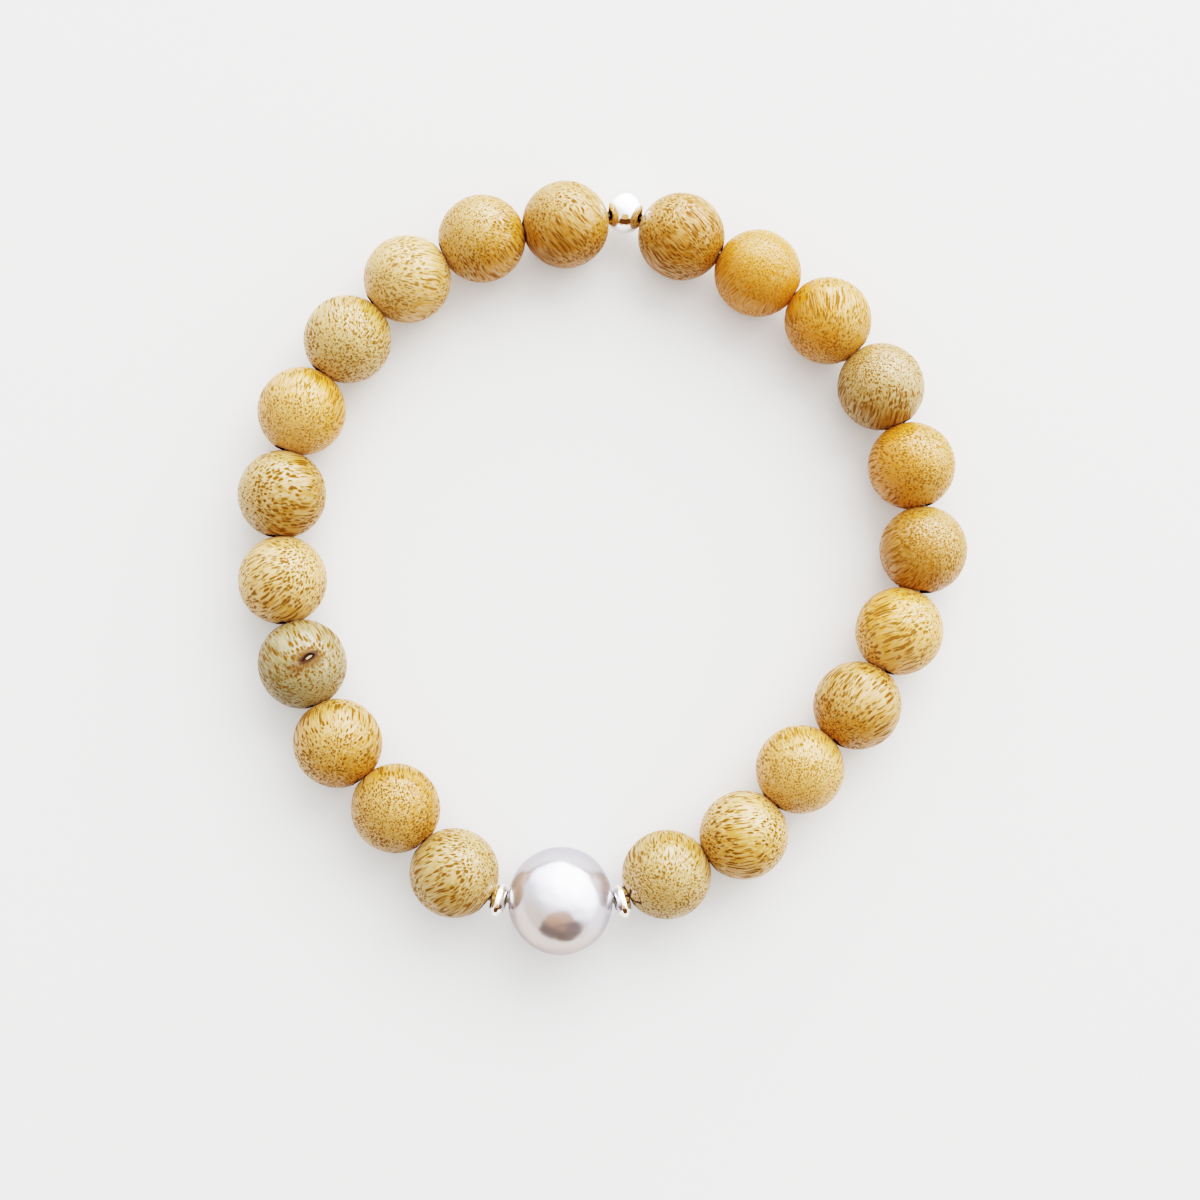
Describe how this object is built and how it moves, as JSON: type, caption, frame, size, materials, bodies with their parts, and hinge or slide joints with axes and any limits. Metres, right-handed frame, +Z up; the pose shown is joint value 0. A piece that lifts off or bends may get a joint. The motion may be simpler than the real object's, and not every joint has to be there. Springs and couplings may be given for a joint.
{
  "type": "beaded bracelet",
  "caption": "Stretch bracelet of round drilled wood beads with a silver-grey pearl between two silver saucers and a small silver ball opposite, strung on elastic and lying in an open loop.",
  "frame": {"origin": "middle of the bracelet's outline, on the surface that it lies on", "axes": "+Z up out of the loop, +Y from the pearl towards the silver ball, +X to the right seen from above"},
  "size_m": [0.0666, 0.0708, 0.0096],
  "materials": {
    "wood": "waxed pale golden wood, grain and pores visible",
    "pearl": "silver-grey nacre with a lilac overtone",
    "silver": "polished silver",
    "elastic": "pale smooth elastic"
  },
  "bodies": {
    "root": {"wood_bead_01": "wood", "wood_bead_02": "wood", "wood_bead_03": "wood", "wood_bead_04": "wood", "wood_bead_05": "wood", "wood_bead_06": "wood", "wood_bead_07": "wood", "wood_bead_08": "wood", "wood_bead_09": "wood", "wood_bead_10": "wood", "wood_bead_11": "wood", "wood_bead_12": "wood", "wood_bead_13": "wood", "wood_bead_14": "wood", "wood_bead_15": "wood", "wood_bead_16": "wood", "wood_bead_17": "wood", "wood_bead_18": "wood", "wood_bead_19": "wood", "wood_bead_20": "wood", "wood_bead_21": "wood", "wood_bead_22": "wood", "pearl": "pearl", "pearl_saucer_right": "silver", "pearl_saucer_left": "silver", "silver_ball": "silver", "elastic_thread": "elastic"}
  },
  "joints": []
}
